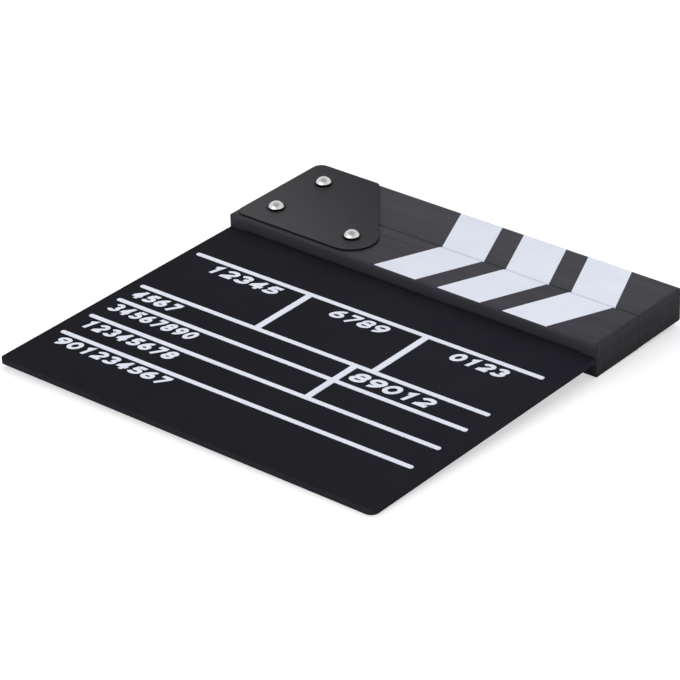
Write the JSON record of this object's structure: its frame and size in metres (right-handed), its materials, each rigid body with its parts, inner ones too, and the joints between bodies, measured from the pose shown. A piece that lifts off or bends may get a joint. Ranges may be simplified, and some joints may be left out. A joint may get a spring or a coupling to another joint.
{
  "type": "clapperboard",
  "caption": "Square black film clapperboard: a ruled slate held in a grooved clapstick, and a chevron-striped clapper that swings open on a pivot between two metal hinge plates.",
  "frame": {"origin": "centre of the outline in plan, level with the screw heads that the hinge end lies on", "axes": "+X along the clapsticks from the hinge end to the free end, +Y from the slate's foot to the clapper, +Z out of the slate's written face"},
  "size_m": [0.2, 0.2096, 0.0224],
  "materials": {
    "slate_paint": "hardboard in smooth black satin paint",
    "stick_paint": "wood in black satin paint",
    "plate_paint": "sheet steel in black satin coating",
    "bright_fixing": "nickel-plated steel",
    "thrust_washer": "black nylon",
    "white_film": "thin white film"
  },
  "bodies": {
    "slate": {"slate_board": "slate_paint", "lower_clapstick": "stick_paint", "front_hinge_plate": "plate_paint", "back_hinge_plate": "plate_paint", "pivot_screw": "bright_fixing", "left_anchor_screw": "bright_fixing", "right_anchor_screw": "bright_fixing", "pivot_sleeve_nut": "bright_fixing", "left_anchor_sleeve_nut": "bright_fixing", "right_anchor_sleeve_nut": "bright_fixing", "front_thrust_washer": "thrust_washer", "back_thrust_washer": "thrust_washer", "lower_stripe_1": "white_film", "lower_stripe_2": "white_film", "lower_stripe_3": "white_film", "form_ruling": "white_film"},
    "clapper": {"upper_clapstick": "stick_paint", "upper_stripe_1": "white_film", "upper_stripe_2": "white_film", "upper_stripe_3": "white_film"}
  },
  "joints": [
    {"name": "clapper_hinge", "type": "hinge", "parent": "slate", "child": "clapper", "pos_m": [-0.0838, 0.08899, 0.01025], "axis": [0, 0, 1], "range_deg": [0, 60]}
  ]
}
